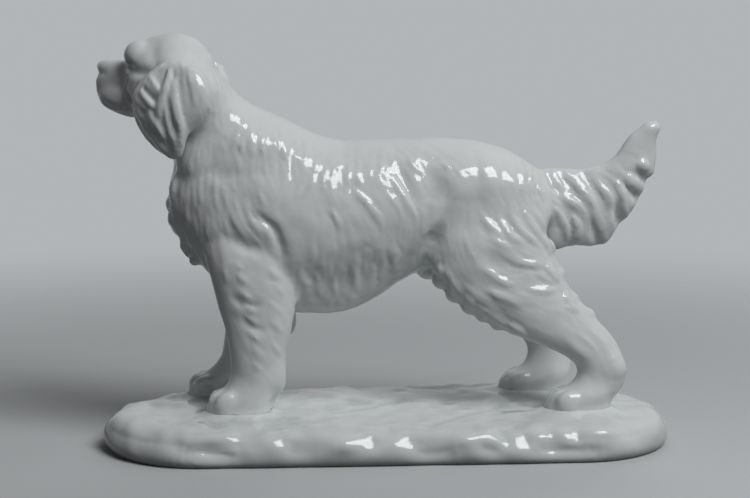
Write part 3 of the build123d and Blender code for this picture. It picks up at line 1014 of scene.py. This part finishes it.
def flare(mesh):
    """Spreads the paws where they are luted to the ground."""
    points = mesh_points(mesh)
    above = points[:, 2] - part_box("left_foreleg")[0][2]
    share = np.clip(1 - above / PAW_FLARE_HEIGHT, 0, 1) ** 2
    points[:, :2] += mesh_normals(mesh)[:, :2] * (PAW_FLARE * share)[:, None]
    set_points(mesh, points)


def all_locks(strokes):
    """A lock along every stroke, and the lids of the eyes."""
    chance = random.Random(LOCK_SEED)
    locks = []
    for coat, places, outward in strokes:
        width = coat.width * MM * chance.uniform(*LOCK_WIDTH_RANGE)
        rise = coat.rise * MM * chance.uniform(*LOCK_RISE_RANGE)
        locks.append(Lock(places, outward, width, rise))
    for lid in (UPPER_LID, LOWER_LID):
        sides = zip(*(head_pair(*place) for place in lid))
        for marks, middle in zip(sides, head_pair(*LID_MIDDLE)):
            places = smooth_line(marks, LID_MARKS)
            out = places - middle
            out /= np.linalg.norm(out, axis=1)[:, None]
            locks.append(Lock(places, out, LID_WIDTH * MM, LID_RISE * MM))
    return locks


def add_node(tree, kind, sockets=(), **settings):
    """Node of a kind with its settings, and in each socket a value or another node's output."""
    node = tree.nodes.new(kind)
    for name, value in settings.items():
        setattr(node, name, value)
    for name, value in dict(sockets).items():
        if isinstance(value, bpy.types.NodeSocket):
            tree.links.new(value, node.inputs[name])
        else:
            node.inputs[name].default_value = value
    return node


def taper_curve(tree):
    """Share of its full width that a lock has along its length."""
    along = add_node(tree, "GeometryNodeSplineParameter").outputs["Factor"]
    taper = add_node(tree, "ShaderNodeFloatCurve", {"Value": along})
    curve = taper.mapping.curves[0]
    curve.points[0].location = LOCK_TAPER[0]
    curve.points[1].location = LOCK_TAPER[-1]
    for place in LOCK_TAPER[1:-1]:
        curve.points.new(*place)
    taper.mapping.update()
    return taper.outputs["Value"]


def lock_tree():
    """Tapered flattened roll of clay along each path, and the identifiers of the tree's inputs."""
    tree = bpy.data.node_groups.new("laid locks", "GeometryNodeTree")
    inputs = {}
    for name, kind in LOCK_INPUTS:
        inputs[name] = tree.interface.new_socket(name, in_out="INPUT", socket_type=kind).identifier
    tree.interface.new_socket("Locks", in_out="OUTPUT", socket_type="NodeSocketGeometry")
    given = tree.nodes.new("NodeGroupInput").outputs
    named = "GeometryNodeInputNamedAttribute"
    outward = add_node(tree, named, {"Name": "outward"}, data_type="FLOAT_VECTOR").outputs["Attribute"]
    half = add_node(tree, named, {"Name": "half_width"}, data_type="FLOAT").outputs["Attribute"]
    scale = add_node(tree, "ShaderNodeMath", {0: half, 1: taper_curve(tree)}, operation="MULTIPLY")
    paths = add_node(tree, "GeometryNodeMeshToCurve", {"Mesh": given["Paths"]}).outputs["Curve"]
    turned = {"Curve": paths, "Normal": outward}
    paths = add_node(tree, "GeometryNodeSetCurveNormal", turned, mode="FREE").outputs["Curve"]
    section = {"Radius": 1.0, "Resolution": given["Lock sides"]}
    ring = add_node(tree, "GeometryNodeCurvePrimitiveCircle", section).outputs["Curve"]
    squash = add_node(tree, "ShaderNodeCombineXYZ", {"X": given["Lock flatness"], "Y": 1.0, "Z": 1.0})
    flattened = {"Geometry": ring, "Scale": squash.outputs["Vector"]}
    oval = add_node(tree, "GeometryNodeTransform", flattened).outputs["Geometry"]
    swept = {"Curve": paths, "Profile Curve": oval, "Scale": scale.outputs["Value"], "Fill Caps": True}
    rolls = add_node(tree, "GeometryNodeCurveToMesh", swept).outputs["Mesh"]
    real = add_node(tree, "GeometryNodeRealizeInstances", {"Geometry": rolls}).outputs["Geometry"]
    painted = add_node(tree, "GeometryNodeSetMaterial", {"Geometry": real, "Material": given["Clay"]})
    add_node(tree, "NodeGroupOutput", {"Locks": painted.outputs["Geometry"]})
    return tree, inputs


def rolled_locks(locks, material):
    """Mesh of clay rolls along the locks, sunk so that each stands proud by its rise."""
    points = []
    edges = []
    half_width = []
    normals = []
    for lock in locks:
        first = len(points)
        sink = lock.rise - LOCK_FLATNESS * lock.width / 2
        points.extend(lock.places + lock.outward * sink)
        edges.extend((i, i + 1) for i in range(first, first + len(lock.places) - 1))
        half_width.extend([lock.width / 2] * len(lock.places))
        normals.extend(lock.outward)
    mesh = bpy.data.meshes.new("lock paths")
    mesh.from_pydata([tuple(p) for p in points], edges, [])
    mark(mesh, "half_width", half_width)
    mark(mesh, "outward", normals, "FLOAT_VECTOR", "vector")
    item = new_object("locks", mesh)
    roll = item.modifiers.new("roll", "NODES")
    roll.node_group, inputs = lock_tree()
    roll[inputs["Lock sides"]] = LOCK_SIDES
    roll[inputs["Lock flatness"]] = LOCK_FLATNESS
    roll[inputs["Clay"]] = material
    return plain_mesh(item)


def coated(clay, material):
    """The whole dog with its eyes, locks, combed hair and tool marks, softened as under glaze."""
    strokes = laid_strokes(surface_of(clay))
    locks = rolled_locks(all_locks(strokes), material)
    eyes = [pellet(place, HEAD_AXES, [EYE_RADIUS] * 3) for place in head_pair(*EYE_PLACE)]
    coat = fused(joined(clay, locks, *eyes), COAT_GRAIN)
    soften(coat, COAT_SOFTENING)
    comb(coat, strokes)
    flare(coat)
    soften(coat, COMB_SOFTENING)
    surface = surface_of(coat)
    for line in both_sides(surface, MOUTH, "head"):
        press(coat, line, MOUTH_REACH * MM, MOUTH_DEPTH * MM)
    crease = [surface.find_nearest(Vector(head_place(*place)))[0] for place in NOSE_CREASE]
    press(coat, smooth_line(crease, GROOVE_MARKS), NOSE_CREASE_REACH * MM, NOSE_CREASE_DEPTH * MM)
    groove = [head_place(*place) for place in LIP_GROOVE]
    press(coat, smooth_line(groove, GROOVE_MARKS), LIP_GROOVE_REACH * MM, LIP_GROOVE_DEPTH * MM)
    return coat


# Parting into castings
HEAD_NODES = ("head", "left_ear", "right_ear")
SEAM_EVENING = 40
SEAM_OVERLAP = 1.0 * MM
CAP_SINK = 1.2 * MM
TAIL_CLEARANCE = 10.0 * MM
# How deep a hollow lies: there the glaze pools grey green, and painted shade darkens its colour
POOL_SHADE_PASSES = 7
POOL_SHADE_DEPTH = 0.35 * MM


def pooled_and_shaded(mesh):
    """Marks on each point how deep it lies below the skin round it, where glaze pools and shade is painted
    darker into the colour.
    """
    points = mesh_points(mesh)
    drawn = softened(points, mesh_edges(mesh), POOL_SHADE_PASSES, push=0.0)
    depth = ((drawn - points) * mesh_normals(mesh)).sum(axis=1)
    mark(mesh, "pool_shade", np.clip(depth / POOL_SHADE_DEPTH, 0, 1))


def head_names(coat):
    """Name of the head or ear casting that lies nearest to each face, with even seams between them."""
    points = mesh_points(coat)
    up_neck = (points - corner_middle("neck_slip_seam")) @ NECK_AXIS
    gaps = np.zeros_like(points)
    for k, node in enumerate(HEAD_NODES):
        skin = surface_of(merged_copy(node))
        for i in np.flatnonzero(up_neck > -SEAM_OVERLAP):
            gaps[i, k] = skin.find_nearest(Vector(points[i]))[3]
    gaps = softened(gaps, mesh_edges(coat), SEAM_EVENING, push=0.0)
    corners = values_of(coat.loops, "vertex_index", 1, np.int32)[:, 0]
    starts = values_of(coat.polygons, "loop_start", 1, np.int32)[:, 0]
    nearest = np.add.reduceat(gaps[corners], starts).argmin(axis=1)
    return np.array(HEAD_NODES, dtype=object)[nearest]


def casting_names(coat):
    """Name of the casting that each face belongs to."""
    centres = values_of(coat.polygons, "center")
    on_head = (centres - corner_middle("neck_slip_seam")) @ NECK_AXIS > 0
    names = np.where(on_head, head_names(coat), "torso")
    tail_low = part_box("tail")[0]
    names[(centres[:, 0] > tail_low[0]) & (centres[:, 2] > tail_low[2] - TAIL_CLEARANCE)] = "tail"
    for end, before in (("foreleg", True), ("hind_leg", False)):
        low = centres[:, 2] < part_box("left_" + end)[1][2]
        here = low & ((centres[:, 0] < 0) == before)
        names[here & (centres[:, 1] < MIDLINE)] = "left_" + end
        names[here & (centres[:, 1] >= MIDLINE)] = "right_" + end
    return names


def closed_casting(coat, others, name):
    """The coat without the faces of the other castings, its rims turned in and capped."""
    casting = bmesh.new()
    casting.from_mesh(coat)
    casting.faces.ensure_lookup_table()
    bmesh.ops.delete(casting, geom=[casting.faces[i] for i in others], context="FACES")
    rims = [edge for edge in casting.edges if edge.is_boundary]
    lip = bmesh.ops.extrude_edge_only(casting, edges=rims)["geom"]
    outward = casting.verts.layers.float_vector["skin_normal"]
    for vert in lip:
        if isinstance(vert, bmesh.types.BMVert):
            vert.co -= vert[outward] * CAP_SINK
    rims = [edge for edge in casting.edges if edge.is_boundary]
    caps = bmesh.ops.holes_fill(casting, edges=rims, sides=0)["faces"]
    bmesh.ops.triangulate(casting, faces=caps)
    return mesh_from(casting, name)


def parted(coat):
    """The coat cut along the casting seams, as one closed mesh for each casting."""
    work = bmesh.new()
    work.from_mesh(coat)
    seams = [
        (corner_middle("neck_slip_seam"), NECK_AXIS),
        (np.array(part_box("tail")[0]), (1, 0, 0)),
        (np.array(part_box("left_foreleg")[1]), UPWARD),
        (np.array(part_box("left_hind_leg")[1]), UPWARD),
    ]
    for place, facing in seams:
        whole = work.verts[:] + work.edges[:] + work.faces[:]
        bmesh.ops.bisect_plane(work, geom=whole, dist=CUT_GAP, plane_co=place, plane_no=facing)
    work.to_mesh(coat)
    work.free()
    mark(coat, "skin_normal", mesh_normals(coat), "FLOAT_VECTOR", "vector")
    names = casting_names(coat)
    return {name: closed_casting(coat, np.flatnonzero(names != name), name) for name in sorted(set(names))}


def finish_casting(mesh, name, material, slot, *nodes):
    """Piece with the whole coat's shading, so that its seams don't show."""
    mesh.materials.clear()
    mesh.materials.append(material)
    mesh.shade_smooth()
    skin = mesh.attributes.get("skin_normal")
    if skin:
        normals = values_of(skin.data, "vector")
        mesh.attributes.remove(skin)
        mesh.normals_split_custom_set_from_vertices([tuple(n) for n in normals])
    piece = new_object(name, mesh)
    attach(piece, "root")
    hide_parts(*nodes)


# Ground of the plinth
GROUND_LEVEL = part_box("plinth")[1][2]
GROUND_FADE = (2.0 * MM, 12.0 * MM)
GROUND_WAVES = ((30.0 * MM, 1.5 * MM), (14.0 * MM, 1.2 * MM), (8.0 * MM, 0.7 * MM))
GROUND_SOFTENING = 200
UNDERSIDE_FACING = -0.3
TUCK_HEIGHT = 7.0 * MM
TUCK = 2.4 * MM
COLLAR_REACH = 7.0 * MM
COLLAR_SEARCH = 14.0 * MM
COLLAR_RISE = 1.6 * MM
WIPED_HEIGHTS = (0.5 * MM, 0.9 * MM)

# Dents and folds in the ground, on the photograph: tool reach and depth in mm, and marks
GROUND_MARKS = [
    (4.2, 2.9, [(182, 450), (208, 452), (236, 457)]),
    (5.0, -1.0, [(190, 440), (215, 440), (240, 443)]),
    (4.2, 1.9, [(412, 449), (432, 454), (456, 450)]),
    (3.6, 1.7, [(480, 446), (492, 450), (502, 455)]),
    (4.2, 2.7, [(534, 449), (566, 451), (602, 451)]),
    (3.0, 1.1, [(504, 432), (507, 438), (508, 444)]),
    (3.0, 1.0, [(550, 430), (553, 436), (554, 442)]),
    (3.0, 1.0, [(574, 430), (578, 436), (580, 442)]),
    (4.5, 1.2, [(286, 448), (300, 452), (318, 452)]),
    (3.0, -0.9, [(338, 448), (352, 446)]),
    (3.0, -0.9, [(388, 446), (396, 444)]),
    (3.0, -0.9, [(458, 441), (474, 439)]),
    (3.0, -0.9, [(592, 430), (616, 433)]),
    (3.0, 1.0, [(360, 432), (370, 438), (374, 446)]),
    (3.0, 1.0, [(515, 428), (524, 434), (528, 442)]),
    (3.2, -1.3, [(125, 406), (160, 404), (195, 407)]),
    (4.5, 1.4, [(130, 398), (165, 396), (195, 398)]),
    (3.0, -1.2, [(282, 400), (315, 394), (350, 398), (385, 402)]),
    (6.0, -1.8, [(395, 387), (440, 385), (490, 386), (530, 388)]),
    (3.0, 1.0, [(330, 412), (360, 408), (395, 400), (430, 396)]),
    (3.2, 0.9, [(270, 425), (310, 420), (350, 414)]),
    (3.2, 1.0, [(430, 425), (470, 412), (510, 405)]),
    (3.0, -1.0, [(612, 396), (640, 404), (655, 418), (657, 432)]),
]


def modelled_plinth(dog):
    """Uneven ground with a rounded rim and tucked foot, drawn up round the paws where glaze gathered."""
    ground = fused(merged_copy("plinth"), PLINTH_GRAIN)
    points = mesh_points(ground)
    drawn = softened(points, mesh_edges(ground), GROUND_SOFTENING, push=0.0)
    share = np.interp(points[:, 2], GROUND_FADE, (0, 1)) * (mesh_normals(ground)[:, 2] > UNDERSIDE_FACING)
    points += (drawn - points) * share[:, None]
    tuck = TUCK * np.clip(1 - points[:, 2] / TUCK_HEIGHT, 0, 1) ** 2
    points[:, :2] -= mesh_normals(ground)[:, :2] * tuck[:, None]
    set_points(ground, points)
    waves = sum(rise * unevenness(points, length) for length, rise in GROUND_WAVES)
    set_points(ground, points + mesh_normals(ground) * (waves * share)[:, None])
    surface = surface_of(ground)
    for reach, depth, marks in GROUND_MARKS:
        press(ground, thrown(surface, marks)[0], reach * MM, depth * MM)
    points = mesh_points(ground)
    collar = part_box("left_foreleg")[0][2] + COLLAR_RISE
    for i in np.flatnonzero(points[:, 2] > GROUND_LEVEL - COLLAR_REACH):
        found = dog.find_nearest(Vector(points[i]), COLLAR_SEARCH)[0]
        if found is not None:
            gap = math.dist(found[:2], points[i, :2]) / COLLAR_REACH
            points[i, 2] += max(collar - points[i, 2], 0) * max(1 - gap, 0) ** 2
    set_points(ground, points)
    soften(ground, COAT_SOFTENING)
    return ground


def wiped(mesh):
    """Marks the foot rim, wiped bare of glaze so that it doesn't stick to the kiln shelf."""
    mark(mesh, "bare", np.interp(mesh_points(mesh)[:, 2], WIPED_HEIGHTS, (1, 0)))


# Materials: the glaze's ripple and gloss, and the bare biscuit of the foot rim
GLAZE_IOR = 1.5
GLAZE_RIPPLE = 7.0 * MM
GLAZE_RIPPLE_DEPTH = 0.05 * MM
GLAZE_RIPPLE_DETAIL = 1.0
GLAZE_ROUGHNESS = (0.04, 0.1)
BREATH_SIZE = 28.0 * MM
BREATH_DETAIL = 2.0
BISCUIT_COLOUR = "#D8D4CB"
BISCUIT_ROUGHNESS = 0.65


def linear(colour):
    """Linear colour of an sRGB hex value."""
    shares = [int(colour[i : i + 2], 16) / 255 for i in (1, 3, 5)]
    return tuple(c / 12.92 if c <= 0.04045 else ((c + 0.055) / 1.055) ** 2.4 for c in shares) + (1.0,)


def glazed_porcelain(name, thin, pooled_shade_colour):
    """Hard white porcelain under a clear glaze that runs off the ridges and pools grey green in the hollows,
    its colour there darkened as painted shade.

    The eye sees sharp wet highlights that waver a little, as the fired glaze does, and a matt bare foot rim.
    """
    material = bpy.data.materials.new(name)
    material.use_nodes = True
    tree = material.node_tree
    shader = tree.nodes["Principled BSDF"]
    shader.inputs["IOR"].default_value = GLAZE_IOR
    place = add_node(tree, "ShaderNodeTexCoord").outputs["Object"]
    pool_shade = add_node(tree, "ShaderNodeAttribute", attribute_name="pool_shade").outputs["Fac"]
    bare = add_node(tree, "ShaderNodeAttribute", attribute_name="bare").outputs["Fac"]
    waver = {"Vector": place, "Scale": 1 / GLAZE_RIPPLE, "Detail": GLAZE_RIPPLE_DETAIL}
    ripple = add_node(tree, "ShaderNodeTexNoise", waver).outputs["Fac"]
    waver = {"Vector": place, "Scale": 1 / BREATH_SIZE, "Detail": BREATH_DETAIL}
    breath = add_node(tree, "ShaderNodeTexNoise", waver).outputs["Fac"]
    # Hollows take the darker grey green: pooled glaze, and painted shade
    pool_shade_mix = {"A": linear(thin), "B": linear(pooled_shade_colour), "Factor": pool_shade}
    pool_shade_tint = add_node(tree, "ShaderNodeMix", pool_shade_mix, data_type="RGBA").outputs["Result"]
    ends = {"Value": breath, "To Min": GLAZE_ROUGHNESS[0], "To Max": GLAZE_ROUGHNESS[1]}
    gloss = add_node(tree, "ShaderNodeMapRange", ends).outputs["Result"]
    wave = {"Height": ripple, "Strength": 1.0, "Distance": GLAZE_RIPPLE_DEPTH}
    skin = add_node(tree, "ShaderNodeBump", wave)
    rim = {"A": pool_shade_tint, "B": linear(BISCUIT_COLOUR), "Factor": bare}
    body = add_node(tree, "ShaderNodeMix", rim, data_type="RGBA")
    matt = add_node(tree, "ShaderNodeMix", {"A": gloss, "B": BISCUIT_ROUGHNESS, "Factor": bare})
    tree.links.new(body.outputs["Result"], shader.inputs["Base Color"])
    tree.links.new(matt.outputs["Result"], shader.inputs["Roughness"])
    tree.links.new(skin.outputs["Normal"], shader.inputs["Normal"])
    return material


# Pieces
# Each glaze's second colour is pooled glaze's grey green, made darker as painted shade in the hollows
glaze = glazed_porcelain("slip_cast_porcelain_clear_glaze", "#DEE1E1", "#BECAC5")
ground_glaze = glazed_porcelain("pressed_porcelain_clear_glaze", "#DADEDE", "#B9C5C0")

coat = coated(shaped_clay(), glaze)
pooled_and_shaded(coat)
dog_skin = surface_of(coat)
castings = parted(coat)
for name in ("head", "left_ear", "right_ear", "tail", *LEG_NODES):
    finish_casting(castings[name], name + "_casting", glaze, "white_glaze", name)
finish_casting(castings["torso"], "torso_casting", glaze, "white_glaze", "torso", *SEAM_NODES)
ground = modelled_plinth(dog_skin)
pooled_and_shaded(ground)
wiped(ground)
finish_casting(ground, "ground_plinth", ground_glaze, "plinth_glaze", "plinth", "paw_slip_seams")

# Studio
FLOOR_RADIUS = 2.0
FLOOR_SEGMENTS = 96
FLOOR_FADE = (0.2, 0.75)
FLOOR_COLOUR = "#C8CBCD"
FLOOR_BOUNCE_COLOUR = "#4C4E50"
PAPER_ROUGHNESS = 0.9
PAPER_SHEEN = 0.1
BACKDROP_COLOUR = "#B2B5B7"
ROOM_LIGHT = 0.1


def seen_rays(tree):
    """One where the eye sees a surface, straight or in a reflection."""
    path = add_node(tree, "ShaderNodeLightPath").outputs
    seen = path["Is Camera Ray"]
    for ray in ("Is Glossy Ray", "Is Transmission Ray"):
        either = add_node(tree, "ShaderNodeMath", {0: seen, 1: path[ray]}, operation="MAXIMUM")
        seen = either.outputs["Value"]
    return seen


def matt_paper():
    """Matt studio paper, pale to the eye and dull to the light, that fades into the backdrop."""
    material = bpy.data.materials.new("matt_studio_paper")
    material.use_nodes = True
    tree = material.node_tree
    paper = tree.nodes["Principled BSDF"]
    paper.inputs["Roughness"].default_value = PAPER_ROUGHNESS
    paper.inputs["Specular IOR Level"].default_value = PAPER_SHEEN
    tones = {"A": linear(FLOOR_BOUNCE_COLOUR), "B": linear(FLOOR_COLOUR), "Factor": seen_rays(tree)}
    colour = add_node(tree, "ShaderNodeMix", tones, data_type="RGBA")
    tree.links.new(colour.outputs["Result"], paper.inputs["Base Color"])
    place = add_node(tree, "ShaderNodeTexCoord").outputs["Object"]
    away = add_node(tree, "ShaderNodeVectorMath", {0: place}, operation="LENGTH").outputs["Value"]
    ends = {"Value": away, "From Min": FLOOR_FADE[0], "From Max": FLOOR_FADE[1]}
    fade = add_node(tree, "ShaderNodeMapRange", ends, interpolation_type="SMOOTHSTEP").outputs["Result"]
    clear = add_node(tree, "ShaderNodeBsdfTransparent").outputs["BSDF"]
    both = add_node(tree, "ShaderNodeMixShader", {0: fade, 1: paper.outputs["BSDF"], 2: clear})
    tree.links.new(both.outputs["Shader"], tree.nodes["Material Output"].inputs["Surface"])
    return material


def studio_floor():
    """Round sheet of paper under the figure."""
    sheet = bmesh.new()
    bmesh.ops.create_circle(sheet, cap_ends=True, segments=FLOOR_SEGMENTS, radius=FLOOR_RADIUS)
    floor = new_object("floor", mesh_from(sheet, "floor"))
    floor.data.materials.append(matt_paper())


def studio_world():
    """Pale backdrop to the eye and in reflections, and weak room light on the figure."""
    world = bpy.data.worlds.new("studio")
    bpy.context.scene.world = world
    world.use_nodes = True
    tree = world.node_tree
    room = tree.nodes["Background"]
    room.inputs["Color"].default_value = linear(BACKDROP_COLOUR)
    room.inputs["Strength"].default_value = ROOM_LIGHT
    pale = {"Color": linear(BACKDROP_COLOUR), "Strength": 1.0}
    backdrop = add_node(tree, "ShaderNodeBackground", pale).outputs["Background"]
    rays = {0: seen_rays(tree), 1: room.outputs["Background"], 2: backdrop}
    both = add_node(tree, "ShaderNodeMixShader", rays)
    tree.links.new(both.outputs["Shader"], tree.nodes["World Output"].inputs["Surface"])


def add_lamp(name, azimuth, elevation, distance, size, power):
    """Soft square lamp that faces the figure."""
    lamp = bpy.data.lights.new(name, "AREA")
    lamp.shape = "SQUARE"
    lamp.size = size
    lamp.energy = power
    item = new_object(name, lamp)
    turn = math.radians(azimuth)
    rise = math.radians(elevation)
    aim = Vector((math.sin(turn) * math.cos(rise), -math.cos(turn) * math.cos(rise), math.sin(rise)))
    item.location = Vector(VIEW_TARGET) + aim * distance
    item.rotation_euler = aim.to_track_quat("Z", "Y").to_euler()
    return item


studio_floor()
studio_world()
add_lamp("key lamp", azimuth=38, elevation=47, distance=1.2, size=0.6, power=9.8)
fill = add_lamp("fill lamp", azimuth=165, elevation=40, distance=1.6, size=1.0, power=4.5)
fill.visible_glossy = False

camera_data = bpy.data.cameras.new("camera")
camera_data.lens = LENS
camera_data.sensor_width = SENSOR
camera = new_object("camera", camera_data)
camera.location = Vector(EYE)
camera.rotation_euler = Vector(BACK).to_track_quat("Z", "Y").to_euler()
bpy.context.scene.camera = camera
bpy.context.scene.view_settings.view_transform = "Standard"

bpy.context.view_layer.update()
